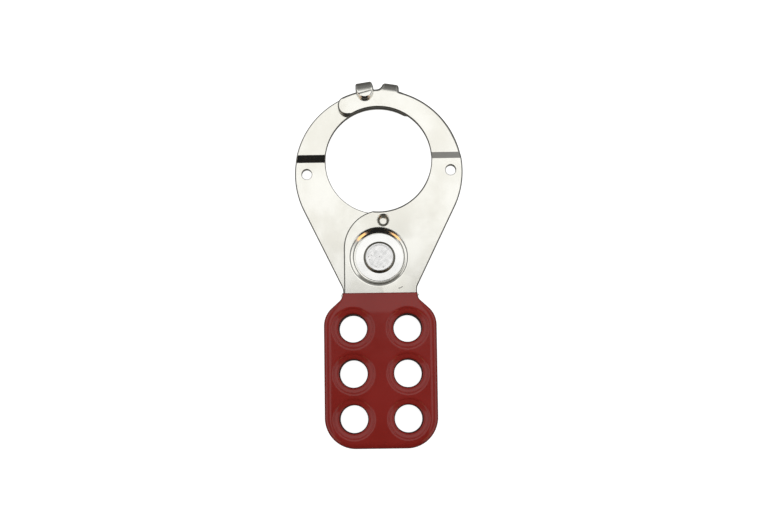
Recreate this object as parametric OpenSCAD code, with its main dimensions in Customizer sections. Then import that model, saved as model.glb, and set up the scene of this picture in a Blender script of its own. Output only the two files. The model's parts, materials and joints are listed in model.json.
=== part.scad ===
// Safety lockout hasp. Two identical pressed-steel halves, one turned over about the
// long axis, are riveted together and hook over each other at the top of the jaws.
// Their handles are dipped in vinyl and share six padlock holes.
// Millimetres. The hasp lies flat and closed: +Z points up through the plates, the jaws
// point to +Y and the handles to -Y. The origin is the middle of the hasp's outline, on the
// surface that it lies on. The rivet's axis is at X = 0 and Y = pivot_y, parallel to Z, and
// each module below draws its piece round that axis, with Z = 0 midway between the halves.

/* [Jaws] */
// Inside diameter of the closed jaws
jaw_bore = 38.1; // [37:0.1:39]
// Distance from the rivet to the centre of the jaws
jaw_y = 35.55; // [35.2:0.05:36]
// Radius of the rounded outside of the jaws
rim_r = 30.1; // [29.7:0.1:30.3]
// Distance from the rivet to the centre of that rounded outside
rim_y = 31; // [30.6:0.05:31.2]
// Angle past the top at which each jaw ends
tip_angle = 28.6; // [28:0.1:34]
// Distance from the rivet to the start of the step across each jaw
step_y = 35.35; // [34.5:0.05:36.5]
// Length of that step along the jaw
step_len = 2.4; // [2:0.1:3]
// Diameter of the tag hole in each jaw
tag_hole_d = 3.6; // [3:0.1:4]
// Distance of the tag hole from the long axis
tag_hole_x = 25.8; // [25:0.1:26]
// Distance of the tag hole above the rivet
tag_hole_y = 31.05; // [29.5:0.05:31.5]

/* [Sheet and spacing] */
// Thickness of the steel sheet
sheet_t = 1.9; // [1.8:0.05:2]
// Gap between the two plates
plate_gap = 2.6; // [2.5:0.1:2.8]
// Gap between the two jaws where they overlap at the top
jaw_gap = 0.3; // [0.2:0.1:0.4]
// Gap between the two pivot bosses
boss_gap = 0.1; // [0.06:0.02:0.2]

/* [Hooks] */
// Angle from the long axis at which each hook leaves the rim
hook_angle = 8.8; // [8:0.1:9.6]
// Width of the hook at the rim and at its tip
hook_w = 6.4; // [5.8:0.1:6.4]
// Width of the hook at the top of its bend
hook_bend_w = 5.7; // [4.8:0.1:5.8]
// Distance of the centre of the hook's bend outside the rim
hook_rise = 0.1; // [0.1:0.05:0.5]
// How far the hook's tip reaches back over the other jaw
hook_reach = 3.7; // [3.2:0.1:4.2]
// Gap between the hook's tip and the other jaw
hook_gap = 0.25; // [0.2:0.05:0.3]
// Radius of the fillet on the inner side of the hook
hook_fillet = 1.6; // [1.2:0.1:2]

/* [Pivot] */
// Diameter of the pivot recess at the plate's surface
recess_d = 20.7; // [20.4:0.1:21.2]
// Diameter of the recess's flat floor
recess_floor_d = 18.1; // [17.4:0.1:18.2]
// Diameter of the rivet's shank
shank_d = 6.35; // [6:0.05:6.5]
// Clearance round the shank in the front plate, as a radius
shank_clear = 0.05; // [0.03:0.01:0.09]
// Play between the front plate and the washer on it
pivot_play = 0.05; // [0.03:0.01:0.08]
// Diameter of the rivet's heads
head_d = 11.3; // [11:0.1:12]
// Diameter of the flat on the rivet's heads
head_flat_d = 9.6; // [9:0.1:10]
// Height of the rivet's heads
head_h = 1.25; // [1:0.05:1.3]
// Height of the chamfer round the rivet's heads
head_chamfer = 0.75; // [0.5:0.05:0.9]
// Outside diameter of the washers under the heads
washer_d = 17; // [16:0.1:17.2]
// Thickness of the washers
washer_t = 0.5; // [0.4:0.05:0.9]

/* [Stop nubs] */
// Distance of each stop nub from the long axis
nub_x = 1.5; // [1.5:0.05:1.6]
// Distance of each stop nub from the rivet along the long axis
nub_y = 13.2; // [12.9:0.1:13.3]
// Diameter of the nub on the plate's inner side
nub_d = 2.9; // [2.7:0.05:2.95]
// Height of the nub
nub_h = 1.75; // [1.5:0.05:1.9]
// Diameter of the dimple behind the nub at the plate's surface
dimple_d = 4.1; // [3.8:0.1:4.3]
// Diameter of the dimple's floor
dimple_floor_d = 2.7; // [2.4:0.1:2.8]
// Depth of the dimple
dimple_depth = 1.5; // [1.2:0.1:1.6]

/* [Handle] */
// Distance from the rivet to the vinyl's top edge
grip_y = 12.65; // [12.5:0.05:13]
// Distance from the rivet to the bottom of the handle
handle_y = 67.65; // [67.2:0.05:68.5]
// Width of the coated handle
handle_w = 39.9; // [39.6:0.1:41]
// Width of the bare steel where the vinyl starts
neck_w = 26.3; // [26:0.1:26.8]
// Radius of the bend in the steel's outline at the neck
neck_r = 4; // [3:0.5:5]
// Angle from the long axis at which the bare sides slope
side_angle = 26; // [25.5:0.1:26.5]
// Radius of the handle's bottom corners
corner_r = 11; // [10:0.5:12]
// Radius of the handle's shoulders
shoulder_r = 8.5; // [8:0.1:9]
// Radius of the hollow above each shoulder
hollow_r = 3; // [2.6:0.1:3.4]
// Angle from the long axis at which each shoulder slopes out
shoulder_angle = 48; // [46:1:52]

/* [Front half's free edge] */
// Distance of the free edge from the long axis
free_x = 12.6; // [12.4:0.1:12.8]
// Radius of the round shoulder above it
free_r = 13.75; // [13.6:0.05:13.9]
// Height of that shoulder's centre above the rivet
free_y = 3.2; // [3:0.05:3.4]

/* [Padlock holes] */
// Diameter of the coated padlock holes
lock_d = 9.8; // [9.6:0.1:10.4]
// Distance between the two columns of holes
lock_pitch_x = 19.2; // [19:0.1:19.4]
// Distance between the rows of holes
lock_pitch_y = 16; // [15.9:0.1:16.2]
// Number of rows of holes
lock_rows = 3; // [2:1:3]
// Distance from the rivet to the first row of holes
lock_y = 25.2; // [24.8:0.05:25.6]
// Diameter at which the vinyl's face starts to dip into each hole
dish_d = 14.8; // [14:0.1:15.2]
// Depth of that dip at the hole
dish_depth = 0.9; // [0.6:0.1:1]

/* [Vinyl] */
// Thickness of the vinyl on the handle's faces
vinyl_t = 1; // [0.9:0.05:1.1]
// Thickness of the vinyl on the handle's sides and bottom
vinyl_side_t = 1; // [0.9:0.05:1.1]
// Thickness of the vinyl inside the padlock holes
vinyl_hole_t = 0.75; // [0.4:0.05:0.8]
// Thickness of the vinyl's faces at its top edge
vinyl_top_t = 0.45; // [0.3:0.05:0.6]
// Thickness of the vinyl's sides at its top edge
vinyl_neck_t = 0.2; // [0.1:0.05:0.3]
// Length over which the vinyl thickens from its top edge
vinyl_taper = 3.6; // [3:0.1:4]

/* [Hidden] */
$fn = 96;

STEEL = [0.91, 0.90, 0.86];
ZINC = [0.84, 0.84, 0.82];
VINYL = [0.47, 0.15, 0.13];

// Heights above the middle of the hasp, for the front half.
plate_in = plate_gap / 2;
plate_out = plate_in + sheet_t;
jaw_in = jaw_gap / 2;
jaw_out = jaw_in + sheet_t;
vinyl_in = plate_in - vinyl_t;
vinyl_out = plate_out + vinyl_t;
recess_depth = (plate_gap - boss_gap) / 2;
boss_in = plate_in - recess_depth;
recess_floor = plate_out - recess_depth;
hook_out = jaw_out + hook_gap + sheet_t;
mid_z = max(vinyl_out, hook_out);

// The hook turns round the other jaw in a half circle, seen from the side.
bend_r_in = (jaw_in + jaw_out + hook_gap) / 2;
bend_r_out = bend_r_in + sheet_t;
bend_v = rim_r + hook_rise;
bend_z = jaw_in - bend_r_in;
tip_end_v = bend_v - hook_reach;

// The hook's inner corner is the top of the hasp, and the rivet's place centres the outline.
hook_top_y = rim_y + (bend_v + bend_r_out) * cos(hook_angle) + hook_bend_w / 2 * sin(hook_angle);
pivot_y = (handle_y - hook_top_y) / 2;

// The jaw's round end touches both the jaws' inside circle and the rim.
jaw_r = jaw_bore / 2;
rim_offset = jaw_y - rim_y;
band_sum = rim_r + jaw_r;
band_r = (pow(band_sum, 2) - pow(rim_offset, 2)) / (2 * (band_sum + rim_offset * cos(tip_angle)));
tip_r = band_r - jaw_r;
tip_c = [-band_r * sin(tip_angle), jaw_y + band_r * cos(tip_angle)];
tip_from_rim = tip_c - [0, rim_y];
tip_outward = tip_from_rim / norm(tip_from_rim);

// The straight side touches the rim above and the neck's bend below.
side_normal = [cos(side_angle), -sin(side_angle)];
neck_c = [neck_w / 2 + neck_r,
    rim_y + ((neck_w / 2 + neck_r) * side_normal[0] - rim_r - neck_r) / sin(side_angle)];
rim_touch = [0, rim_y] + rim_r * side_normal;
neck_touch = neck_c - neck_r * side_normal;

free_c = [free_r - free_x, free_y];
shoulder_slope = [sin(shoulder_angle), -cos(shoulder_angle)];
shoulder_normal = [cos(shoulder_angle), sin(shoulder_angle)];

steel_hole_d = lock_d + 2 * vinyl_hole_t;
lock_centres = [for (side = [-1, 1], row = [0 : lock_rows - 1])
    [side * lock_pitch_x / 2, -lock_y - row * lock_pitch_y]];

// big reaches past everything, and over is how far a cut or a join runs past a face.
big = 200;
over = 0.5;
// The angle between the points along an arc in a drawn outline
arc_step = 4;

function arc(c, r, from, to) = let (steps = ceil(abs(to - from) / arc_step))
    [for (i = [0 : steps]) let (a = from + (to - from) * i / steps) c + r * [cos(a), sin(a)]];

// The outline of one handle, drawn in by inset from the coated outline. It leaves the neck
// at the height top_y, with half the width top_half.
module handle_outline(inset, top_half, top_y) {
    half = handle_w / 2 - inset;
    outer_r = shoulder_r - inset;
    inner_r = hollow_r + inset;
    bottom_r = corner_r - inset;
    run = (half - top_half - (outer_r + inner_r) * (1 - cos(shoulder_angle))) / sin(shoulder_angle);
    hollow_c = [top_half + inner_r, -grip_y - over];
    land = hollow_c - inner_r * shoulder_normal + run * shoulder_slope;
    right = concat([[top_half, top_y]],
        arc(hollow_c, inner_r, 180, 180 + shoulder_angle),
        arc(land - outer_r * shoulder_normal, outer_r, shoulder_angle, 0),
        arc([half - bottom_r, inset - handle_y + bottom_r], bottom_r, 0, -90));
    left = [for (i = [len(right) - 1 : -1 : 0]) [-right[i][0], right[i][1]]];
    polygon(concat(right, left));
}

// The round outside of the jaws and the sides that slope down to the neck.
module body_outline() {
    translate([0, rim_y]) circle(rim_r);
    for (side = [0, 1]) mirror([side, 0])
        difference() {
            polygon([[-over, rim_y], [0, rim_y], rim_touch, neck_touch, neck_c,
                [neck_w / 2, neck_c[1]], [neck_w / 2, -grip_y - over], [-over, -grip_y - over]]);
            translate(neck_c) circle(neck_r);
        }
}

// What the front half keeps of that outline: the right jaw, its band over the top as far as
// the round end, and the neck as far as the free edge.
module front_share() {
    translate([free_c[0], -grip_y - over]) square([big, big]);
    translate([-free_x, -grip_y - over]) square([free_r + over, grip_y + over + free_y]);
    translate(free_c) circle(free_r);
    polygon([[0, jaw_y], tip_c, tip_c + 2 * tip_r * tip_outward, [tip_c[0], big],
        [free_c[0] + over, big], [free_c[0] + over, jaw_y]]);
}

module plate_outline() {
    difference() {
        union() {
            difference() {
                intersection() {
                    body_outline();
                    front_share();
                }
                translate([0, jaw_y]) circle(jaw_r);
            }
            translate(tip_c) circle(tip_r);
            handle_outline(vinyl_side_t, neck_w / 2, -grip_y - over / 2);
        }
        translate([tag_hole_x, tag_hole_y]) circle(d = tag_hole_d);
        for (c = lock_centres) translate(c) circle(d = steel_hole_d);
    }
}

// A side view, drawn as Y and Z, pushed out both ways along X.
module across(width) {
    rotate([90, 0, 90]) translate([0, 0, -width / 2]) linear_extrude(width) children();
}

// The sheet from the side, with the step that brings the upper jaw in to the middle.
module sheet_side() {
    polygon([[-handle_y, plate_in], [step_y, plate_in], [step_y + step_len, jaw_in], [big, jaw_in],
        [big, jaw_out], [step_y + step_len, jaw_out], [step_y, plate_out], [-handle_y, plate_out]]);
}

// The hook from the side: a U that lies on its side and opens towards the rim's centre.
module hook_side() {
    difference() {
        union() {
            translate([bend_v, bend_z]) circle(bend_r_out);
            translate([tip_end_v - over, bend_z - bend_r_out]) square([hook_reach + over, 2 * bend_r_out]);
        }
        translate([bend_v, bend_z]) circle(bend_r_in);
        translate([tip_end_v - 2 * over, bend_z - bend_r_in]) square([hook_reach + 2 * over, 2 * bend_r_in]);
    }
}

// The web that rounds the hook into the rim, on the side nearer the long axis.
module hook_web() {
    side_u = -hook_w / 2;
    c = [side_u - hook_fillet, sqrt(pow(rim_r + hook_fillet, 2) - pow(side_u - hook_fillet, 2))];
    difference() {
        polygon([[side_u, c[1]], c, c * rim_r / (rim_r + hook_fillet), [side_u - over, rim_r - 2],
            [0, rim_r - 2], [0, c[1]]]);
        translate(c) circle(hook_fillet);
    }
}

// The hook from the front, where start_v is where its straight sides begin. It narrows
// evenly from the start of the bend to the top of the bend, and on past it.
module hook_front(start_v) {
    past_top = hook_bend_w - hook_w / 2;
    polygon([[-hook_w / 2, start_v], [hook_w / 2, start_v], [hook_w / 2, bend_v],
        [past_top, bend_v + 2 * bend_r_out], [-past_top, bend_v + 2 * bend_r_out], [-hook_w / 2, bend_v]]);
}

// The hook points straight out from the rim's centre. Its strip is the side view seen
// through the front view, which has a web above the bend and a round tip below it.
module hook() {
    translate([0, rim_y, 0]) rotate(-hook_angle) {
        intersection() {
            across(3 * hook_w) hook_side();
            translate([0, 0, bend_z]) linear_extrude(bend_r_out + over) {
                hook_front(rim_r - 1);
                hook_web();
            }
        }
        intersection() {
            across(3 * hook_w) hook_side();
            translate([0, 0, bend_z - bend_r_out - over]) linear_extrude(bend_r_out + over) {
                hook_front(tip_end_v + hook_w / 2);
                translate([0, tip_end_v + hook_w / 2]) circle(d = hook_w);
            }
        }
    }
}

// A round pressing that starts d_top wide at the height z and is d_floor wide at depth below
// it. Its sides carry on above z.
module pressing(d_top, d_floor, z, depth) {
    flare = (d_top - d_floor) * over / depth;
    translate([0, 0, z - depth]) cylinder(d1 = d_floor, d2 = d_top + flare, h = depth + over);
}

// One steel half as it lies in front. The back one is the same pressing turned over.
module plate(bore_d) {
    difference() {
        union() {
            intersection() {
                linear_extrude(plate_out) plate_outline();
                across(big) sheet_side();
            }
            hook();
            pressing(recess_d, recess_floor_d, plate_in, recess_depth);
            translate([nub_x, nub_y, plate_in - nub_h]) cylinder(d = nub_d, h = nub_h + over);
        }
        pressing(recess_d, recess_floor_d, plate_out, recess_depth);
        translate([nub_x, nub_y, 0]) pressing(dimple_d, dimple_floor_d, plate_out, dimple_depth);
        translate([0, 0, -over]) cylinder(d = bore_d, h = plate_out + 2 * over);
    }
}

// The vinyl from the side: it thins on both faces towards its top edge.
module vinyl_side() {
    top_in = plate_in - vinyl_top_t;
    top_out = plate_out + vinyl_top_t;
    polygon([[-grip_y, top_in], [-grip_y, top_out], [-grip_y - vinyl_taper, vinyl_out],
        [-handle_y - over, vinyl_out], [-handle_y - over, vinyl_in], [-grip_y - vinyl_taper, vinyl_in]]);
}

module coating() {
    difference() {
        intersection() {
            linear_extrude(vinyl_out) handle_outline(0, neck_w / 2 + vinyl_neck_t, -grip_y);
            across(2 * handle_w) vinyl_side();
        }
        intersection() {
            linear_extrude(plate_out) plate_outline();
            translate([-handle_w, -handle_y, plate_in]) cube([2 * handle_w, handle_y, sheet_t]);
        }
        for (c = lock_centres) translate(c) {
            translate([0, 0, -over]) cylinder(d = lock_d, h = vinyl_out + 2 * over);
            pressing(dish_d, lock_d, vinyl_out, dish_depth);
            translate([0, 0, vinyl_in]) mirror([0, 0, 1]) pressing(dish_d, lock_d, 0, dish_depth);
        }
    }
}

module washer(z) {
    translate([0, 0, z]) difference() {
        cylinder(d = washer_d, h = washer_t);
        translate([0, 0, -over]) cylinder(d = shank_d + 4 * shank_clear, h = washer_t + 2 * over);
    }
}

// A rivet head that stands on the height z.
module rivet_head(z) {
    translate([0, 0, z]) {
        cylinder(d = head_d, h = head_h - head_chamfer);
        translate([0, 0, head_h - head_chamfer]) cylinder(d1 = head_d, d2 = head_flat_d, h = head_chamfer);
    }
}

// The back half is the front one turned over about the long axis.
module turned_over() {
    rotate([0, 180, 0]) children();
}

// From the rivet's axis to the place that the header describes
module in_place() {
    translate([0, pivot_y, mid_z]) children();
}

module front_plate() {
    color(STEEL) in_place() plate(shank_d + 2 * shank_clear);
}

module back_plate() {
    color(STEEL) in_place() turned_over() plate(shank_d);
}

module front_coating() {
    color(VINYL) in_place() coating();
}

module back_coating() {
    color(VINYL) in_place() turned_over() coating();
}

module front_washer() {
    color(ZINC) in_place() washer(recess_floor + pivot_play);
}

module back_washer() {
    color(ZINC) in_place() turned_over() washer(recess_floor);
}

module rivet() {
    front_z = recess_floor + pivot_play + washer_t;
    back_z = recess_floor + washer_t;
    color(ZINC) in_place() {
        rivet_head(front_z);
        turned_over() rivet_head(back_z);
        translate([0, 0, -back_z - over / 2]) cylinder(d = shank_d, h = front_z + back_z + over);
    }
}

back_plate();
back_coating();
back_washer();
rivet();
front_washer();
front_plate();
front_coating();
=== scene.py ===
"""The looks of a safety lockout hasp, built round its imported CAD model.

Lengths are millimetres until a mesh is made. Each piece is drawn for the front half, round the
rivet's axis, with Z = 0 midway between the halves. The back half is the front one turned over
about the long axis.
"""
import json
import math

import bpy
import numpy as np
from mathutils import Matrix, Vector
from mathutils.geometry import delaunay_2d_cdt


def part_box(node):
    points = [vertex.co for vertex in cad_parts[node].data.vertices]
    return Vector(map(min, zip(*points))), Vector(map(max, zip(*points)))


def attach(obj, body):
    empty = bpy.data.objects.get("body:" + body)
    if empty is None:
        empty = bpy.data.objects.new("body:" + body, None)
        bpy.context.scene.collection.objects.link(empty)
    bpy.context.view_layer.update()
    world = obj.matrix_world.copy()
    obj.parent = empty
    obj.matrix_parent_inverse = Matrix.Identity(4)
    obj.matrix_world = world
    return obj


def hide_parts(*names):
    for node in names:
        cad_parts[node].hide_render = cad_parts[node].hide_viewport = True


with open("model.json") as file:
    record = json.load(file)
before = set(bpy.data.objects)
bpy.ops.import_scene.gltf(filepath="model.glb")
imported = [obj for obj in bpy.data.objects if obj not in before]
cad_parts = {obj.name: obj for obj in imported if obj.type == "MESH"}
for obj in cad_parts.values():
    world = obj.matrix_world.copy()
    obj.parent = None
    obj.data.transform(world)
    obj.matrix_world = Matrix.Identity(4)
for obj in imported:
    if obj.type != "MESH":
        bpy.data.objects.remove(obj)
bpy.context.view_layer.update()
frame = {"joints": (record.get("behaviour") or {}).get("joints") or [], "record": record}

# ---------------------------------------------------------------- sizes

MM = 0.001
pivot = Vector(frame["joints"][0]["pos_m"])
mounts = {mount["name"]: mount for mount in frame["record"]["mounts"]}


def local(point):
    """A point of the frame, in millimetres from the rivet's axis and the middle of the hasp."""
    return (Vector(point) - pivot) / MM


def mount_circle(name):
    """(x, y, radius) of a round mount."""
    at = local(mounts[name]["pos_m"])
    return at.x, at.y, mounts[name]["dims"]["r_mm"]


_, plate_high = (local(corner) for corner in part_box("front_plate"))
grip_low, grip_high = (local(corner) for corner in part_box("front_coating"))
washer_low, washer_high = (local(corner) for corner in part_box("front_washer"))
rivet_low, rivet_high = (local(corner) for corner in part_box("rivet"))

_, jaw_y, jaw_r = mount_circle("jaws")
tag_x, tag_y, tag_r = mount_circle("tag_hole_front")
padlock_holes = [mount_circle(name) for name in mounts if name.startswith("padlock_hole")]
lock_r = padlock_holes[0][2]
sheet_t = mounts["tag_hole_front"]["dims"]["length_mm"]

# Heights of the middle of the front half's sheet: at the pivot and the handle, and at the jaw
plate_mid = plate_high.z - sheet_t / 2
jaw_gap = 0.3
jaw_mid = (jaw_gap + sheet_t) / 2

# Outline of the jaws
rim_r = plate_high.x
jaw_above_rim = 4.55
rim_y = jaw_y - jaw_above_rim
tip_angle = 28.6
step_y = 35.35
step_len = 2.4
side_angle = 26
neck_r = 4
neck_half = 13.15
free_x = 12.6
free_r = 13.75
free_y = 3.2
free_c = (free_r - free_x, free_y)

# Outline of the handle
grip_half = grip_high.x
grip_top = grip_high.y
grip_bottom = grip_low.y
shoulder_r = 8.5
hollow_r = 3
corner_r = 11
shoulder_angle = 48
vinyl_side_t = 1
vinyl_bore_t = 0.75
straight_neck = 0.5
tang_top = grip_top - 0.9

# Hook
hook_angle = 8.8
hook_half = 3.2
hook_waist = 2.75
hook_flare = 3.2
hook_tip_half = 3.1
hook_fillet = 1.6
hook_gap = 0.25
hook_reach = 2.95
hook_slant = 0.1
flare_at = 0.92
bend_in = 0.75
bend_rise = 0.5
bend_v = rim_r - bend_in
bend_r = jaw_mid + hook_gap / 2 + sheet_t / 2
bend_turn = math.pi * bend_r
bend_stretch = 1 + bend_rise / (bend_r + sheet_t / 2)

# Pressings: radius at the face, radius of the floor, depth
recess = (10.25, 8.97, 0.93)
recess_c = (-0.25, 0.22)
recess_skew = 0.17
recess_skew_turn = math.radians(118)
dimple = (2.05, 1.35, 1.5)
nub = (1.45, 1.35, 1.75)
nub_c = (1.5, 13.2)

# Radii of the rounded bends, at the middle of the sheet
jaw_bend_r = 0.7
recess_bend_r = 1.2
dimple_bend_r = 0.4
nub_bend_r = 0.1

# Rivet and washers
shank_r = 3.175
shank_clear = 0.05
washer_play = 0.1
# Play between the front half and its washer, which the back washer doesn't have
pivot_play = 0.05
head_flat_r = 4.85
head_h = 1.25


# ---------------------------------------------------------------- outlines in the plane

SPACING = 0.3


def arc(centre, radius, start, end, spacing=SPACING):
    """Points on an arc, from start to end in degrees, both ends included."""
    steps = max(2, math.ceil(abs(math.radians(end - start)) * radius / spacing))
    turn = np.radians(np.linspace(start, end, steps + 1))
    return np.c_[centre[0] + radius * np.cos(turn), centre[1] + radius * np.sin(turn)]


def hole(centre, radius, spacing=SPACING):
    """A round hole's outline. It runs clockwise, so that the material is on its left."""
    return arc(centre, radius, 360, 0, spacing)[:-1]


def filled(points, spacing=SPACING):
    """The closed outline with points added along its straight stretches, and none repeated."""
    out = []
    for here, there in zip(points, np.roll(points, -1, axis=0)):
        length = np.hypot(*(there - here))
        if length > 1e-6:
            steps = max(1, round(length / spacing))
            out += [here + (there - here) * i / steps for i in range(steps)]
    return np.array(out)


def polar(centre, radius, angle):
    return np.array(centre) + radius * np.array([math.cos(angle), math.sin(angle)])


def angle_of(point, centre):
    return math.degrees(math.atan2(point[1] - centre[1], point[0] - centre[0]))


def handle_side(inset, top_half, top_y):
    """The right side of a handle, from its neck down to the middle of its bottom."""
    half = grip_half - inset
    outer, inner, bottom = shoulder_r - inset, hollow_r + inset, corner_r - inset
    slope = math.radians(shoulder_angle)
    run = (half - top_half - (outer + inner) * (1 - math.cos(slope))) / math.sin(slope)
    normal = np.array([math.cos(slope), math.sin(slope)])
    along = np.array([math.sin(slope), -math.cos(slope)])
    hollow_c = np.array([top_half + inner, grip_top - straight_neck])
    land = hollow_c - inner * normal + run * along
    return np.vstack([
        [[top_half, top_y]],
        arc(hollow_c, inner, 180, 180 + shoulder_angle),
        arc(land - outer * normal, outer, shoulder_angle, 0),
        arc((half - bottom, grip_bottom + inset + bottom), bottom, 0, -90),
    ])


def mirrored(points):
    return points * [-1, 1]


def from_hook(points):
    """From the hook's own axes, across and along it, to the plane of the sheet."""
    a = math.radians(hook_angle)
    u, v = np.array(points).T
    return np.c_[u * math.cos(a) + v * math.sin(a), rim_y - u * math.sin(a) + v * math.cos(a)]


def hook_outline():
    """The hook before it is bent: a strip that leaves the rim and ends in a half circle."""
    foot = math.sqrt(rim_r ** 2 - hook_half ** 2)
    middle, end = bend_v + bend_turn / 2, bend_v + flare_at * bend_turn
    end_c = bend_v + bend_turn + hook_reach - hook_tip_half
    fillet_c = (-hook_half - hook_fillet,
                math.sqrt((rim_r + hook_fillet) ** 2 - (hook_half + hook_fillet) ** 2))
    return from_hook(np.vstack([
        [[hook_half, foot], [hook_waist, middle], [hook_flare, end]],
        arc((0, end_c), hook_tip_half, 5, 175),
        [[-hook_flare, end], [-hook_waist, middle]],
        arc(fillet_c, hook_fillet, 0, angle_of((0, 0), fillet_c)),
    ]))


def plate_outline():
    """The front half's sheet before it is formed, anticlockwise."""
    rim_c, jaw_c = (0, rim_y), (0, jaw_y)
    # The jaw's round end touches both the jaws' inside circle and the rim
    tip_turn = math.radians(90 + tip_angle)
    lean = jaw_y - rim_y
    total = rim_r + jaw_r
    band = (total ** 2 - lean ** 2) / (2 * (total + lean * math.cos(math.radians(tip_angle))))
    tip_c = polar(jaw_c, band, tip_turn)
    # The straight side touches the rim above and the neck's bend below
    slope = math.radians(side_angle)
    neck_x = neck_half + neck_r
    neck_c = (neck_x, rim_y + (neck_x * math.cos(slope) - rim_r - neck_r) / math.sin(slope))
    hook = hook_outline()
    # Where the round shoulder of the free edge crosses the jaws' inside circle
    apart = math.dist(jaw_c, free_c)
    reach = (jaw_r ** 2 - free_r ** 2 + apart ** 2) / (2 * apart)
    spread = math.degrees(math.acos(reach / jaw_r))
    crossing = polar(jaw_c, jaw_r, math.radians(angle_of(free_c, jaw_c) - spread))
    tang = handle_side(vinyl_side_t, neck_half, tang_top)
    return filled(np.vstack([
        mirrored(tang),
        tang[::-1],
        arc(neck_c, neck_r, 180, 180 - side_angle),
        arc(rim_c, rim_r, -side_angle, angle_of(hook[0], rim_c)),
        hook,
        arc(rim_c, rim_r, angle_of(hook[-1], rim_c), angle_of(tip_c, rim_c)),
        arc(tip_c, band - jaw_r, angle_of(tip_c, rim_c), angle_of(jaw_c, tip_c) + 360),
        arc(jaw_c, jaw_r, 90 + tip_angle, angle_of(crossing, jaw_c)),
        arc(free_c, free_r, angle_of(crossing, free_c), 180),
        [[-free_x, tang_top]],
    ]))


# ---------------------------------------------------------------- meshes

def outward(loop):
    """Unit normals that point out of the material, which is on the loop's left."""
    along = np.roll(loop, -1, axis=0) - np.roll(loop, 1, axis=0)
    normal = np.c_[along[:, 1], -along[:, 0]]
    return normal / np.linalg.norm(normal, axis=1, keepdims=True)


def inside(points, loops):
    """Which points are in the material between the loops."""
    hits = np.zeros(len(points), int)
    for loop in loops:
        x0, y0 = loop.T
        x1, y1 = np.roll(loop, -1, axis=0).T
        px, py = points[:, :1], points[:, 1:]
        crosses = (y0 > py) != (y1 > py)
        with np.errstate(divide="ignore", invalid="ignore"):
            left = px < x0 + (py - y0) * (x1 - x0) / (y1 - y0)
        hits += (crosses & left).sum(axis=1)
    return hits % 2 == 1


def clear_of(points, loops, margin):
    """The points that are in the material and at least margin from its edges."""
    points = points[inside(points, loops)]
    edge = np.vstack(loops)
    near = [np.min(np.hypot(*(edge - p).T)) for p in points]
    return points[np.array(near) > margin]


class Skin:
    """Vertices and faces of a closed mesh, gathered piece by piece."""

    def __init__(self):
        self.points = []
        self.faces = []
        self.dull_and_shade = []

    def add(self, points, dull_and_shade=0.0):
        """Adds vertices and says how dark the surface is there, from 0 to 1: sheared metal and
        painted shade.
        """
        first = len(self.points)
        self.points += [tuple(p) for p in points]
        self.dull_and_shade += list(np.broadcast_to(dull_and_shade, len(points)))
        return np.arange(first, len(self.points))

    def strip(self, lower, upper, up=True):
        """Quads between two loops. They face out when upper is above or inside lower, or, on a
        face that looks down, when up is False."""
        if not up:
            lower, upper = upper, lower
        for a, b, c, d in zip(lower, np.roll(lower, -1), np.roll(upper, -1), upper):
            self.faces.append((a, b, c, d))

    def cap(self, loops, numbers, inner, height, up, dull_and_shade=lambda points: 0.0):
        """Triangles over the material between the loops, through the inner points."""
        flat = np.vstack([*loops, inner])
        edges, first = [], 0
        for loop in loops:
            count = len(loop)
            edges += [(first + i, first + (i + 1) % count) for i in range(count)]
            first += count
        found = delaunay_2d_cdt([Vector(p) for p in flat], edges, [], 0, 1e-7)
        at, triangles, sources = np.array([tuple(p) for p in found[0]]), found[2], found[3]
        known = np.concatenate(numbers)
        number = np.zeros(len(at), int)
        nearest = [min(source, default=len(known)) for source in sources]
        extra = [i for i, source in enumerate(nearest) if source >= len(known)]
        number[extra] = self.add(np.c_[at[extra], height(at[extra])], dull_and_shade(at[extra]))
        for i, source in enumerate(nearest):
            if source < len(known):
                number[i] = known[source]
        triangles = np.array(triangles)
        triangles = triangles[inside(at[triangles].mean(axis=1), loops)]
        if not up:
            triangles = triangles[:, ::-1]
        self.faces += [tuple(number[t]) for t in triangles]

    def build(self, name, turned_over=False):
        """The finished object, in metres and in its place."""
        points = np.array(self.points)
        if turned_over:
            points = points * [-1, 1, -1]
        mesh = bpy.data.meshes.new(name)
        mesh.from_pydata([Vector(p) * MM + pivot for p in points], [], self.faces)
        # Painted shade and the real dullness of cut metal share this attribute
        shade = mesh.attributes.new("dull_and_shade", "FLOAT", "POINT")
        shade.data.foreach_set("value", np.array(self.dull_and_shade, np.float32))
        mesh.validate()
        mesh.shade_smooth()
        thing = bpy.data.objects.new(name, mesh)
        bpy.context.collection.objects.link(thing)
        return thing


# ---------------------------------------------------------------- shaping

def smooth(x):
    """Smooth step from 0 at 0 to 1 at 1."""
    x = np.clip(x, 0, 1)
    return x * x * (3 - 2 * x)


def ellipse(x):
    """Height of a quarter ellipse, from 0 at its foot to 1 at its top."""
    return np.sqrt(np.clip(1 - (1 - np.clip(x, 0, 1)) ** 2, 0, 1))


def distance(points, centre):
    return np.hypot(points[:, 0] - centre[0], points[:, 1] - centre[1])


def distance_to_line(points, line):
    """Least distance from each point to an open line."""
    a, b = line[:-1], line[1:]
    ab = b - a
    share = ((points[:, None] - a) * ab).sum(axis=2) / (ab ** 2).sum(axis=1)
    near = a + np.clip(share, 0, 1)[..., None] * ab
    return np.hypot(*(points[:, None] - near).transpose(2, 0, 1)).min(axis=1)


def bent_step(u, run, drop, radius):
    """How far a sheet has fallen at u along a sloping step of that run, with rounded bends."""
    slope = drop / run
    c = radius * np.tan(np.arctan(slope) / 2)

    def ramp(x):
        return np.where(x > c, x, np.where(x < -c, 0, (x + c) ** 2 / (4 * c)))

    return slope * (ramp(u) - ramp(u - run))


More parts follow.
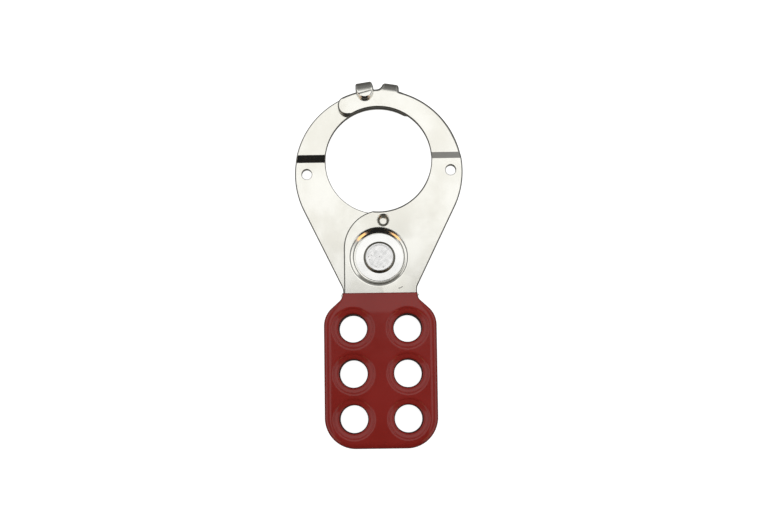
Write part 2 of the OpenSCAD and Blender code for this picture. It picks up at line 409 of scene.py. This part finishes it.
def bends_of(start, run, drop, radius):
    """Places along a step at which its rounded bends need a row of points."""
    c = radius * math.tan(math.atan(drop / run) / 2)
    rows = c * np.array([-1.3, -1, -0.6, -0.2, 0.2, 0.6, 1, 1.3])
    return np.concatenate([start + rows, start + run + rows])


def rings(centre, radii, spacing=SPACING):
    return np.vstack([hole(centre, radius, spacing) for radius in radii])


# ---------------------------------------------------------------- pressed steel

def recess_run(points):
    """Width of the recess's wall. The press left it a little wider on one side."""
    turn = np.arctan2(points[:, 1] - recess_c[1], points[:, 0] - recess_c[0])
    return recess[0] - recess[1] + recess_skew * np.cos(turn - recess_skew_turn)


def sheet_mid(points):
    """Height of the middle of the sheet, with the jaw's step and the pivot's recess."""
    fall = bent_step(points[:, 1] - step_y, step_len, plate_mid - jaw_mid, jaw_bend_r)
    inward = recess[0] - distance(points, recess_c)
    sunk = bent_step(inward, recess_run(points), recess[2], recess_bend_r)
    return plate_mid - fall - sunk - tip_wave(points)


def hook_axes(points):
    """Distances across the hook and along it, from the rim's centre."""
    a = math.radians(hook_angle)
    x, y = points[:, 0], points[:, 1] - rim_y
    return x * math.cos(a) - y * math.sin(a), x * math.sin(a) + y * math.cos(a)


def past_bend(points):
    """Distance along the hook past the end of its bend."""
    return hook_axes(points)[1] - bend_v - bend_turn


def tip_wave(points):
    """The hook's end dips a little along a slanting crease just past its bend."""
    depth, start, length = 0.09, 0.2, 0.75
    return depth * smooth((past_bend(points) - hook_slant * hook_axes(points)[0] - start) / length)


def pressed(points, pressing, radius):
    """How far a round pressing at the stop nub has sunk the sheet."""
    top_r, floor_r, depth = pressing
    return bent_step(top_r - distance(points, nub_c), top_r - floor_r, depth, radius)


def outer_face(points):
    return sheet_mid(points) + sheet_t / 2 - pressed(points, dimple, dimple_bend_r)


def inner_face(points):
    return sheet_mid(points) - sheet_t / 2 - pressed(points, nub, nub_bend_r)


def bend_hook(points):
    """Wraps the hook's strip round its bend. The rest of the sheet stays as it is.

    The bend starts a little inside the rim, so the rim beside the hook's foot shares in it.
    """
    foot_side, fade = 2.4, 2
    points = np.array(points)
    u, v = hook_axes(points)
    z = points[:, 2]
    past = np.maximum(v - bend_v, 0) * smooth((hook_half + foot_side - np.abs(u)) / fade)
    turn = np.minimum(past / bend_r, math.pi)
    reach = bend_r + z - jaw_mid
    bent = past > 0
    back = np.maximum(past - bend_turn, 0)
    lifted = v - past
    v = np.where(bent, lifted + bend_stretch * reach * np.sin(turn) - back, v)
    z = np.where(bent, z - reach * (1 - np.cos(turn)), z)
    return np.c_[from_hook(np.c_[u, v]), z]


def is_small(loop):
    """Whether a loop is the tag hole or the rivet's hole, the two with the fewest points."""
    return len(loop) < 100


def edge_roll(loop, wide, tip_wide, top_share, low_share):
    """Radius of the rolled edge at each point of a loop.

    It is wide along most edges, and tip_wide at the hook's tip. Towards the top of the jaws' rim
    it is top_share of wide. Round their opening it goes from common_share to low_share lower down.
    """
    common_share, small_share, fade = 0.6, 0.45, 12
    lowered = smooth((jaw_y - loop[:, 1] - 1) / fade)
    round_opening = distance(loop, (0, jaw_y)) < jaw_r + 0.1
    opening_wide = (common_share + (low_share - common_share) * lowered) * wide
    roll = np.where(round_opening, opening_wide, wide)
    raised = smooth((loop[:, 1] - rim_y - 2) / fade)
    on_rim = distance(loop, (0, rim_y)) > rim_r - 0.05
    roll = np.where(on_rim, roll * (1 + (top_share - 1) * raised), roll)
    roll = roll + (tip_wide - roll) * smooth((past_bend(loop) + 0.5) / 2)
    return roll * small_share if is_small(loop) else roll


def edge_wear_and_shade(loop, turn):
    """How dark a sheared edge is at a turn of its roll, which is 0 at the wall and a right angle
    at the face: most on the corner, and hardly at the hook's smooth tip. Cut metal is duller,
    and the dark line on the rolled corner is painted shade."""
    kept_bright, tip_start, tip_length = 0.85, 0.5, 1.5
    dark_from, dark_to, face_from = 0.5, 1.0, 1.4
    wall = 0.1 if is_small(loop) else 0.6
    corner_wear_and_shade = wall + (1 - wall) * smooth(turn / dark_from)
    corner_wear_and_shade = corner_wear_and_shade * smooth((face_from - turn) / (face_from - dark_to))
    smooth_tip = smooth((past_bend(loop) + tip_start) / tip_length)
    return (1 - kept_bright * smooth_tip) * corner_wear_and_shade


def face_shade(points):
    """How much painted shade a face gets, which also makes it rougher: on the dimple's steep
    side, the hook's bend, and the crease past it.
    """
    side_shade, bend_shade, crease_shade = 0.7, 0.45, 0.55
    dimple_r, dimple_floor, _ = dimple
    r = distance(points, nub_c)
    dimple_side = smooth((r - dimple_floor + 0.05) / 0.3) * smooth((dimple_r + 0.05 - r) / 0.25)
    past = past_bend(points)
    across = hook_axes(points)[0]
    on_hook = smooth((hook_half + 0.6 - np.abs(across)) / 0.6)
    bend_side = on_hook * smooth((past + bend_turn) / 0.3) * smooth((0.15 - past) / 0.25)
    crease = past - hook_slant * across
    crease_side = smooth((crease - 0.25) / 0.15) * smooth((0.85 - crease) / 0.15)
    return side_shade * dimple_side + bend_shade * bend_side + crease_shade * crease_side


def sheet_rows(own):
    """Points inside the sheet, closer where it is bent, with a face's own ones added."""
    hook_end = bend_v + bend_turn + hook_reach
    strip = from_hook([(u, v) for v in np.arange(rim_r - 2, hook_end, 0.2)
                       for u in np.arange(-4.5, 4.6, 0.4)])
    step_rows = bends_of(step_y, step_len, plate_mid - jaw_mid, jaw_bend_r)
    step = np.array([(x, y) for y in step_rows for x in np.arange(jaw_r, rim_r, 0.3)])
    # The recess's upper bend, and the whole band in which its uneven lower one lies
    top_r, floor_r, depth = recess
    upper_bend = bends_of(floor_r, top_r - floor_r, depth, recess_bend_r)[8:]
    lower_bend = np.arange(8.3, 9.7, 0.08)
    recess_rings = rings(recess_c, np.concatenate([upper_bend, lower_bend]))
    return np.vstack([strip, step, recess_rings, own])


def sheet_face(skin, loops, up, height, rolls, segments, own):
    """One face of the sheet and its rolled edges. Returns the vertices where the wall starts."""
    wide, tip_wide, top_share, low_share = rolls
    side = 1 if up else -1
    flat_margin, inner_margin = 0.08, 0.12
    rim, flats, flat_loops = [], [], []
    for loop in loops:
        normal = outward(loop)
        roll = edge_roll(loop, wide, tip_wide, top_share, low_share)[:, None]
        before = None
        for turn in np.linspace(0, math.pi / 2, segments + 1):
            at = loop - normal * roll * (1 - math.cos(turn))
            z = height(at) - side * roll[:, 0] * (1 - math.sin(turn))
            # The rolled edges get painted shade on top of the real dullness of the cut metal
            numbers = skin.add(np.c_[at, z], edge_wear_and_shade(loop, turn))
            if before is None:
                rim.append(numbers)
            else:
                skin.strip(before, numbers, up)
            before = numbers
        at = loop - normal * (roll + flat_margin)
        numbers = skin.add(np.c_[at, height(at)])
        skin.strip(before, numbers, up)
        flats.append(numbers)
        flat_loops.append(at)
    inner = clear_of(sheet_rows(own), flat_loops, inner_margin)
    skin.cap(flat_loops, flats, inner, height, up, face_shade)
    return rim


def formed_sheet(name, bore_r, turned_over):
    """One pressed steel half, with rolled edges and rounded bends."""
    skin = Skin()
    loops = [plate_outline(), hole((tag_x, tag_y), tag_r, 0.2), hole((0, 0), bore_r)]
    loops += [hole((x, y), lock_r + vinyl_bore_t) for x, y, _ in padlock_holes]
    dimple_r, dimple_floor, dimple_depth = dimple
    nub_r, nub_floor, _ = nub
    dimple_rows = bends_of(dimple_floor, dimple_r - dimple_floor, dimple_depth, dimple_bend_r)
    nub_rows = [nub_r + 0.1, nub_r, nub_floor, nub_floor - 0.1]
    # Widths of the rolled edges: along most edges, at the hook's tip, and the shares of edge_roll
    outer_rolls = (0.55, 0.9, 0.8, 0.9) if turned_over else (0.55, 0.9, 1.65, 1.3)
    inner_rolls = (0.5, 0.4, 1, 0.6)
    dimple_rings, nub_rings = rings(nub_c, dimple_rows, 0.2), rings(nub_c, nub_rows, 0.2)
    upper = sheet_face(skin, loops, True, outer_face, outer_rolls, 7, dimple_rings)
    lower = sheet_face(skin, loops, False, inner_face, inner_rolls, 6, nub_rings)
    for above, below in zip(upper, lower):
        skin.strip(below, above)
    skin.points = [tuple(p) for p in bend_hook(skin.points)]
    return skin.build(name, turned_over)


# ---------------------------------------------------------------- vinyl

# How thick it is over the steel: fully, and at its top edge, which is round and tapers down
cover = grip_high.z - plate_high.z
top_cover = 0.45
taper = 7
lip = 0.35

# Width of the roll along the sides, at most, at the top edge, and how far down it grows
roll_wide = 2.5
roll_top = 0.5
roll_grows = 7

# The dish round each padlock hole, the crease near its rim, and the roll into the hole
dish_r = 7.65
dish_floor_r = 5.6
dish_fall = 0.42
dish_bend_r = 1.2
crease_r = 7.0
crease_fall = 0.2
crease_wide = 0.5
bore_wide = 1.0


def side_roll(down):
    """Width of the roll along a handle's side, that far down from the vinyl's top edge."""
    return roll_top + (roll_wide - roll_top) * smooth((down - 1) / roll_grows)


def coating_half(points, side_line):
    """Half the thickness of the coated handle at each point."""
    down = grip_top - points[:, 1]
    thin = smooth(down / taper)
    skin_t = (top_cover + (cover - top_cover) * thin) * ellipse(down / lip)
    half = sheet_t / 2 + skin_t
    half = half * ellipse(distance_to_line(points, side_line) / side_roll(down))
    for x, y, radius in padlock_holes:
        r = distance(points, (x, y))
        fall = bent_step(dish_r - r, dish_r - dish_floor_r, dish_fall, dish_bend_r)
        fall = fall + crease_fall * smooth((crease_r + crease_wide / 2 - r) / crease_wide)
        bore = ellipse((r - radius) / (dish_floor_r + 0.2 - radius))
        half = np.where(r < dish_r + 1, np.maximum(half - fall, 0) * bore, half)
    return half


def vinyl_rows():
    """Points inside the vinyl's faces, closer near its top edge and round the dished holes."""
    grid = np.array([(x, y) for x in np.arange(-grip_half, grip_half, 0.6)
                     for y in np.arange(grip_bottom, grip_top, 0.6)])
    near_top = np.array([(x, grip_top - d) for d in (0.5, 0.75, 1.1, 1.5, 2, 2.5, 3, 3.5)
                         for x in np.arange(-neck_half, neck_half, 0.5)])
    across_crease = np.arange(crease_r - 0.3, crease_r + 0.31, 0.05)
    up_to_rim = np.arange(crease_r + 0.45, dish_r + 0.5, 0.2)
    dishes = []
    for x, y, radius in padlock_holes:
        floor = np.arange(radius + 1.15, crease_r - 0.35, 0.15)
        dishes.append(rings((x, y), np.r_[floor, across_crease, up_to_rim], 0.3))
    off_holes = np.min([distance(grid, hole_at) for hole_at in padlock_holes], axis=0)
    plain = (off_holes > dish_r + 0.6) & (grid[:, 1] < grip_top - 4)
    return np.vstack([grid[plain], near_top, *dishes])


def coated_handle(name, turned_over):
    """The dipped vinyl on one handle: thick on the faces, rolled round its edges and holes."""
    skin = Skin()
    side = handle_side(0, neck_half + 0.2, grip_top)
    side_line = np.vstack([mirrored(side), side[::-1]])
    outline = filled(side_line, 0.4)
    loops = [outline] + [hole((x, y), radius, 0.3) for x, y, radius in padlock_holes]
    on_top = np.abs(outline[:, 1] - grip_top) < 1e-6
    widths = [np.where(on_top, lip, side_roll(grip_top - outline[:, 1]))]
    widths += [np.full(len(loop), bore_wide) for loop in loops[1:]]
    inner = vinyl_rows()
    edge = []
    for up in (True, False):
        def height(points, side=1 if up else -1):
            return plate_mid + side * coating_half(points, side_line)

        first, flats, flat_loops = [], [], []
        for loop, wide in zip(loops, widths):
            normal = outward(loop)
            before = None
            for share in 1 - np.cos(np.linspace(0, math.pi / 2, 12)):
                at = loop - normal * wide[:, None] * share
                # Painted shade on the inner part of each roll, at half strength along the outer
                # edge
                shadow = smooth((0.45 - wide * share) / 0.35) * (0.5 if loop is outline else 1)
                numbers = skin.add(np.c_[at, height(at)], shadow)
                if before is None:
                    first.append(numbers)
                else:
                    skin.strip(before, numbers, up)
                before = numbers
            flats.append(before)
            flat_loops.append(at)
        edge.append(first)
        skin.cap(flat_loops, flats, clear_of(inner, flat_loops, 0.15), height, up)
    for upper, lower in zip(*edge):
        skin.strip(lower, upper)
    return skin.build(name, turned_over)


# ---------------------------------------------------------------- rivet and washers

def lathe(name, profile, turned_over=False, uneven=None, dull_and_shade=lambda radius: 0.0):
    """A closed turned piece. The profile is (radius, height) points, up its outside."""
    around = 160
    skin = Skin()
    turn = np.linspace(0, 2 * math.pi, around, endpoint=False)
    before = first = None
    for radius, height in profile:
        at = np.c_[radius * np.cos(turn), radius * np.sin(turn)]
        z = np.full(around, height)
        if uneven is not None:
            z = z + uneven(at, height)
        numbers = skin.add(np.c_[at, z], dull_and_shade(radius))
        if before is None:
            first = numbers
        else:
            skin.strip(before, numbers)
        before = numbers
    skin.strip(before, first)
    return skin.build(name, turned_over)


def corner(radius, height, r, start, end, steps=3):
    """Profile points round a corner of radius r whose centre is at that radius and height."""
    turn = np.radians(np.linspace(start, end, steps + 1))
    return [(radius + r * math.cos(t), height + r * math.sin(t)) for t in turn]


def washer(name, low, high, turned_over):
    """A washer with a rounded upper rim, and with its other corners just broken."""
    outer, hole_r = washer_high.x, shank_r + washer_play
    edge, burr = 0.08, 0.05
    profile = corner(outer - burr, low + burr, burr, -90, 0)
    profile += corner(outer - edge, high - edge, edge, 0, 90, 6)
    profile += [(outer - edge - 0.08, high), (hole_r + 0.2, high)]
    profile += corner(hole_r + burr, high - burr, burr, 90, 180)
    profile += corner(hole_r + burr, low + burr, burr, 180, 270)
    profile += [(hole_r + 0.2, low), (outer - burr - 0.08, low)]
    return lathe(name, profile, turned_over)


def rivet(name):
    """The pivot rivet: a shank between two hammered heads."""
    head_r, flat_r = rivet_high.x, head_flat_r
    front, back = rivet_high.z, rivet_low.z
    chamfer = [(0, 1.0), (0.04, 0.85), (0.18, 0.62), (0.4, 0.38), (0.65, 0.17), (0.85, 0.05)]
    axle_r = 0.02

    def head(top):
        """From the shank round the head's rim to the middle of its face."""
        under = [(shank_r + 0.1, top - head_h), (head_r - 0.15, top - head_h)]
        under += [(head_r - 0.04, top - head_h + 0.04), (head_r, top - head_h + 0.12)]
        rim = [(head_r - inward, top - down) for inward, down in chamfer]
        rim += [(flat_r + 0.05, top - 0.01), (flat_r - 0.05, top)]
        return under + rim + [(r, top) for r in np.arange(flat_r - 0.3, 0.05, -0.18)]

    upper = head(front)
    lower = [(r, back + (front - height)) for r, height in upper][::-1]
    profile = [(axle_r, back)] + lower + [(shank_r, back + head_h), (shank_r, front - head_h)]
    profile += upper + [(axle_r, front)]

    def uneven(at, height):
        """The low waves that the hammer left on both faces."""
        r = np.hypot(*at.T)
        if abs(height - front) > 1e-6 and abs(height - back) > 1e-6:
            return 0 * r
        x, y = at.T
        wave = np.sin(1.9 * x + 0.7) * np.sin(2.3 * y - 0.4) + 0.6 * np.sin(3.7 * x - 2.9 * y)
        out = 1 if height > 0 else -1
        return out * smooth((flat_r - 0.1 - r) / 0.8) * (0.003 * wave - 0.02)

    # Painted shade on the heads' chamfered rims
    def dull_and_shade(radius):
        return smooth((radius - flat_r + 0.05) / 0.1)

    return lathe(name, profile, uneven=uneven, dull_and_shade=dull_and_shade)


# ---------------------------------------------------------------- materials

class Nodes:
    """A short way to write a node tree."""

    def __init__(self, tree):
        self.tree = tree
        tree.nodes.clear()

    def add(self, kind, **settings):
        node = self.tree.nodes.new(kind)
        for key, value in settings.items():
            if hasattr(node, key):
                setattr(node, key, value)
            else:
                self.put(node, key.replace("_", " "), value)
        return node

    def put(self, node, socket, value):
        target = node.inputs[socket]
        if hasattr(value, "is_output") or hasattr(value, "links"):
            self.tree.links.new(value, target)
        else:
            target.default_value = value

    def maths(self, operation, *values):
        node = self.tree.nodes.new("ShaderNodeMath")
        node.operation = operation
        for i, value in enumerate(values):
            self.put(node, i, value)
        return node.outputs[0]

    def fade(self, value, low, high, out_low=0.0, out_high=1.0):
        """Smooth step from out_low at low to out_high at high."""
        node = self.tree.nodes.new("ShaderNodeMapRange")
        node.interpolation_type = "SMOOTHSTEP"
        for socket, setting in enumerate((value, low, high, out_low, out_high)):
            self.put(node, socket, setting)
        return node.outputs[0]

    def mix(self, share, first, second):
        node = self.tree.nodes.new("ShaderNodeMix")
        node.data_type = "RGBA"
        self.put(node, 0, share)
        self.put(node, 6, first)
        self.put(node, 7, second)
        return node.outputs[2]

    def noise(self, where, scale, detail=2.0, roughness=0.5):
        node = self.tree.nodes.new("ShaderNodeTexNoise")
        self.put(node, "Vector", where)
        self.put(node, "Scale", scale)
        self.put(node, "Detail", detail)
        self.put(node, "Roughness", roughness)
        return node.outputs["Fac"]

    def bump(self, height, strength, depth, under=None):
        node = self.tree.nodes.new("ShaderNodeBump")
        self.put(node, "Height", height)
        self.put(node, "Strength", strength)
        self.put(node, "Distance", depth)
        if under is not None:
            self.put(node, "Normal", under)
        return node.outputs[0]

    def shade_and_dullness(self):
        """What the mesh says of its surface: 0 as plated or dipped, 1 sheared, or dark with
        painted shade.
        """
        return self.add("ShaderNodeAttribute", attribute_name="dull_and_shade").outputs["Fac"]


def new_material(name):
    """A material with a Principled shader, its nodes, and the object's own coordinates."""
    material = bpy.data.materials.new(name)
    material.use_nodes = True
    nodes = Nodes(material.node_tree)
    shader = nodes.add("ShaderNodeBsdfPrincipled")
    output = nodes.add("ShaderNodeOutputMaterial")
    nodes.put(output, "Surface", shader.outputs[0])
    where = nodes.add("ShaderNodeTexCoord").outputs["Object"]
    return material, nodes, shader, where


def mark(nodes, where, x, y, long, wide, angle):
    """A small oval scratch on the face: 1 at its middle, 0 outside."""
    spot = nodes.add("ShaderNodeMapping", vector_type="TEXTURE")
    nodes.put(spot, "Vector", where)
    nodes.put(spot, "Location", pivot + Vector((x, y, 0)) * MM)
    nodes.put(spot, "Rotation", (0, 0, math.radians(angle)))
    nodes.put(spot, "Scale", (long * MM, wide * MM, 1))
    u, v, _ = nodes.add("ShaderNodeSeparateXYZ", Vector=spot.outputs[0]).outputs
    far = nodes.maths("ADD", nodes.maths("MULTIPLY", u, u), nodes.maths("MULTIPLY", v, v))
    return nodes.fade(far, 0.6, 1.0, 1.0, 0.0)


def plated_steel():
    """Bright nickel plate: faint cream mottling, low waves, two scratches, duller sheared edges,
    and painted shade along the rolled edges and on the dimple, bend and crease.
    """
    material, nodes, shader, where = new_material("plated_steel")
    pale, cream, speck = (0.96, 0.955, 0.9, 1), (0.885, 0.873, 0.8, 1), (0.75, 0.74, 0.7, 1)
    # sheared is the duller colour of cut metal, made darker still as painted shade
    scratch, sheared = (0.2, 0.2, 0.18, 1), (0.13, 0.128, 0.112, 1)
    cloud = nodes.noise(where, 55, 4, 0.6)
    fleck = nodes.noise(where, 900, 3, 0.6)
    tone = nodes.mix(nodes.fade(cloud, 0.36, 0.68), pale, cream)
    tone = nodes.mix(nodes.fade(fleck, 0.62, 0.75, 0, 0.1), tone, speck)
    scratched = nodes.maths("MAXIMUM", mark(nodes, where, 6.95, -11.1, 0.5, 0.2, 5),
                            mark(nodes, where, 7.75, -10.75, 0.55, 0.17, 22))
    tone = nodes.mix(scratched, tone, scratch)
    dull_and_shade = nodes.shade_and_dullness()
    nodes.put(shader, "Base Color", nodes.mix(dull_and_shade, tone, sheared))
    nodes.put(shader, "Metallic", 1.0)
    plated = nodes.fade(cloud, 0.3, 0.7, 0.14, 0.19)
    nodes.put(shader, "Roughness", nodes.fade(dull_and_shade, 0.0, 1.0, plated, 0.4))
    wave = nodes.bump(nodes.noise(where, 90, 2), 0.05, 0.0001)
    nodes.put(shader, "Normal", nodes.bump(fleck, 0.04, 0.00002, wave))
    return material


def rivet_steel():
    """Duller zinc plate with a mottled, hammered face, and painted shade on its rim."""
    material, nodes, shader, where = new_material("rivet_steel")
    pale, grey, dark = (0.995, 0.995, 0.99, 1), (0.93, 0.935, 0.935, 1), (0.84, 0.84, 0.835, 1)
    # rim is the colour of the painted shade on the heads' chamfers
    nick, rim = (0.5, 0.49, 0.46, 1), (0.17, 0.165, 0.14, 1)
    cloud = nodes.noise(where, 500, 4, 0.6)
    broad = nodes.noise(where, 260, 2, 0.5)
    tone = nodes.mix(nodes.fade(cloud, 0.42, 0.7), pale, grey)
    tone = nodes.mix(nodes.fade(broad, 0.55, 0.75, 0, 0.4), tone, dark)
    for x, y, long in ((-3.9, 0.1, 0.32), (-3.5, -0.9, 0.25), (-2.9, 0.7, 0.22),
                       (-1.2, -3.4, 0.25), (1.4, -3.6, 0.3)):
        tone = nodes.mix(mark(nodes, where, x, y, long, 0.2, 40), tone, nick)
    dull_and_shade = nodes.shade_and_dullness()
    nodes.put(shader, "Base Color", nodes.mix(dull_and_shade, tone, rim))
    nodes.put(shader, "Metallic", 1.0)
    plated = nodes.fade(cloud, 0.3, 0.7, 0.18, 0.28)
    nodes.put(shader, "Roughness", nodes.fade(dull_and_shade, 0.0, 1.0, plated, 0.4))
    nodes.put(shader, "Normal", nodes.bump(cloud, 0.06, 0.00004))
    return material


def washer_steel():
    """Bright smooth zinc plate."""
    material, nodes, shader, where = new_material("washer_steel")
    pale, cool = (0.99, 0.99, 0.975, 1), (0.97, 0.975, 0.965, 1)
    cloud = nodes.noise(where, 160, 3, 0.5)
    nodes.put(shader, "Base Color", nodes.mix(nodes.fade(cloud, 0.35, 0.7), pale, cool))
    nodes.put(shader, "Metallic", 1.0)
    nodes.put(shader, "Roughness", nodes.fade(cloud, 0.3, 0.7, 0.11, 0.15))
    nodes.put(shader, "Normal", nodes.bump(cloud, 0.04, 0.00005))
    return material


def red_vinyl():
    """Glossy dark-red dip, a little uneven where it ran and set, with painted shade at its edges
    and round its holes.
    """
    material, nodes, shader, where = new_material("red_vinyl")
    deep, light = (0.205, 0.0155, 0.0115, 1), (0.228, 0.0175, 0.0135, 1)
    shadow = (0.03, 0.004, 0.004, 1)
    flow = nodes.noise(where, 70, 3, 0.5)
    grain = nodes.noise(where, 2500, 2, 0.5)
    tone = nodes.mix(nodes.fade(flow, 0.3, 0.7), deep, light)
    nodes.put(shader, "Base Color", nodes.mix(nodes.shade_and_dullness(), tone, shadow))
    nodes.put(shader, "Roughness", nodes.fade(flow, 0.3, 0.7, 0.11, 0.15))
    nodes.put(shader, "IOR", 1.42)
    run = nodes.bump(flow, 0.2, 0.0003)
    nodes.put(shader, "Normal", nodes.bump(grain, 0.03, 0.00002, run))
    return material


# ---------------------------------------------------------------- pieces

def dress(thing, material, body, node):
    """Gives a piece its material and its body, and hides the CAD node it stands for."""
    thing.data.materials.append(material)
    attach(thing, body)
    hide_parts(node)


steel, zinc, bright, vinyl = plated_steel(), rivet_steel(), washer_steel(), red_vinyl()
dress(formed_sheet("front_half_steel", shank_r + shank_clear, False), steel,
      "front_half", "front_plate")
dress(formed_sheet("back_half_steel", shank_r, True), steel,
      "back_half", "back_plate")
dress(coated_handle("front_grip", False), vinyl, "front_half", "front_coating")
dress(coated_handle("back_grip", True), vinyl, "back_half", "back_coating")
dress(washer("front_pivot_washer", washer_low.z, washer_high.z, False), bright,
      "back_half", "front_washer")
dress(washer("back_pivot_washer", washer_low.z - pivot_play, washer_high.z - pivot_play, True),
      bright, "back_half", "back_washer")
dress(rivet("pivot_rivet"), zinc, "back_half", "rivet")


# ---------------------------------------------------------------- floor, light, camera

def pale_floor():
    """A white table, which the polished metal hardly mirrors."""
    size, glow_seen, glow_on_metal, glow_elsewhere = 4.0, 0.93, 0.14, 0.3
    mesh = bpy.data.meshes.new("floor")
    mesh.from_pydata([(-size, -size, 0), (size, -size, 0), (size, size, 0), (-size, size, 0)], [],
                     [(0, 1, 2, 3)])
    floor = bpy.data.objects.new("floor", mesh)
    bpy.context.collection.objects.link(floor)
    material = bpy.data.materials.new("pale_floor")
    material.use_nodes = True
    nodes = Nodes(material.node_tree)
    diffuse = nodes.add("ShaderNodeBsdfDiffuse", Color=(0.35, 0.35, 0.35, 1))
    glow = nodes.add("ShaderNodeEmission", Color=(1, 1, 1, 1), Strength=glow_seen)
    both = nodes.add("ShaderNodeAddShader")
    nodes.put(both, 0, diffuse.outputs[0])
    nodes.put(both, 1, glow.outputs[0])
    indirect = nodes.add("ShaderNodeEmission", Color=(1, 0.98, 0.93, 1))
    ray = nodes.add("ShaderNodeLightPath")
    nodes.put(indirect, "Strength", nodes.fade(ray.outputs["Is Glossy Ray"], 0.0, 1.0,
                                               glow_elsewhere, glow_on_metal))
    choice = nodes.add("ShaderNodeMixShader")
    nodes.put(choice, 0, ray.outputs["Is Camera Ray"])
    nodes.put(choice, 1, indirect.outputs[0])
    nodes.put(choice, 2, both.outputs[0])
    output = nodes.add("ShaderNodeOutputMaterial")
    nodes.put(output, "Surface", choice.outputs[0])
    mesh.materials.append(material)


def studio():
    """White light above, behind and beside the hasp, and a dark near side.

    x, y and z are the parts of a direction: to the right, away from the near side, and up.
    """
    world = bpy.data.worlds.new("studio")
    bpy.context.scene.world = world
    world.use_nodes = True
    nodes = Nodes(world.node_tree)
    way = nodes.add("ShaderNodeSeparateXYZ")
    nodes.put(way, 0, nodes.add("ShaderNodeTexCoord").outputs["Generated"])
    x, y, z = way.outputs
    white, wall_white, lamp, least = 1.04, 0.95, 2.1, 0.012
    lamp_colour, white_colour = (1, 0.5, 0.15, 1), (1, 0.995, 0.985, 1)

    def times(*values):
        out = values[0]
        for value in values[1:]:
            out = nodes.maths("MULTIPLY", out, value)
        return out

    def less(first, second):
        return nodes.maths("SUBTRACT", first, second)

    def but(value, share):
        """1 less that share of a value."""
        return less(1.0, times(value, share))

    # The near side is dark up to just past overhead, and further on towards the sides
    wide = nodes.maths("ABSOLUTE", x)
    beside = nodes.maths("MAXIMUM", less(wide, 0.06), 0.0)
    lit = nodes.fade(nodes.maths("ADD", y, times(beside, 1.05)), 0.075, 0.12)
    # The white is weaker on the back wall, weaker still low down on it, and on the side walls
    back_wall = nodes.fade(less(y, times(wide, 0.35)), 0.43, 0.53)
    back_low = nodes.fade(y, 0.9, 0.98)
    ahead = nodes.maths("MAXIMUM", times(y, -1.0), times(y, 0.3))
    sideways = nodes.fade(less(wide, ahead), 0.1, 0.32)
    side_wall = times(sideways, nodes.fade(z, 0.84, 0.92, 1.0, 0.0), nodes.fade(z, 0.44, 0.54))
    level = times(lit, but(back_wall, 0.77), but(back_low, 0.35), but(side_wall, 0.85), white)
    # A white wall low down on the near side, with a warm lamp at each end of the dark part
    azimuth = nodes.maths("ARCTAN2", wide, times(y, -1.0))
    low = nodes.fade(z, 0.24, 0.3, 1.0, 0.0)
    wall = times(low, nodes.fade(azimuth, 0.55, 0.65), but(back_wall, 1.0), wall_white)
    level = nodes.maths("MAXIMUM", level, wall)
    lean = less(z, times(x, 0.05))
    warm = times(nodes.fade(azimuth, 0.54, 0.62), nodes.fade(azimuth, 0.96, 1.06, 1.0, 0.0),
                 nodes.fade(lean, 0.37, 0.43), nodes.fade(lean, 0.52, 0.58, 1.0, 0.0))
    level = nodes.maths("MAXIMUM", level, times(warm, lamp))
    light = nodes.add("ShaderNodeBackground")
    nodes.put(light, "Color", nodes.mix(warm, white_colour, lamp_colour))
    nodes.put(light, "Strength", nodes.maths("ADD", level, least))
    seen = nodes.add("ShaderNodeBackground", Color=(1, 1, 1, 1), Strength=1.0)
    ray = nodes.add("ShaderNodeLightPath")
    both = nodes.add("ShaderNodeMixShader")
    nodes.put(both, 0, ray.outputs["Is Camera Ray"])
    nodes.put(both, 1, light.outputs[0])
    nodes.put(both, 2, seen.outputs[0])
    output = nodes.add("ShaderNodeOutputWorld")
    nodes.put(output, "Surface", both.outputs[0])


def soft_light():
    """A broad overhead light that brings out colour without a highlight of its own."""
    data = bpy.data.lights.new("soft_light", "SUN")
    data.energy = 1.5
    data.angle = math.radians(120)
    thing = bpy.data.objects.new("soft_light", data)
    thing.rotation_euler = (math.radians(-15), 0, 0)
    thing.visible_glossy = False
    bpy.context.collection.objects.link(thing)


def camera():
    """The camera, nearly straight above the hasp and turned very slightly."""
    data = bpy.data.cameras.new("camera")
    data.lens = 49.455
    data.sensor_width = 36
    data.shift_y = 0.1
    eye = Vector((0, -0.052175, 0.3747))
    aim = Vector((-0.00019, -0.028015, 0))
    roll = math.radians(-0.75)
    ahead = (aim - eye).normalized()
    right = ahead.cross(Vector((0, 1, 0))).normalized()
    facing = Matrix((right, right.cross(ahead), -ahead)).transposed()
    thing = bpy.data.objects.new("camera", data)
    bpy.context.collection.objects.link(thing)
    thing.location = eye
    thing.rotation_mode = "QUATERNION"
    thing.rotation_quaternion = (facing @ Matrix.Rotation(roll, 3, "Z")).to_quaternion()
    bpy.context.scene.camera = thing


pale_floor()
studio()
soft_light()
camera()
bpy.context.scene.view_settings.view_transform = "Standard"
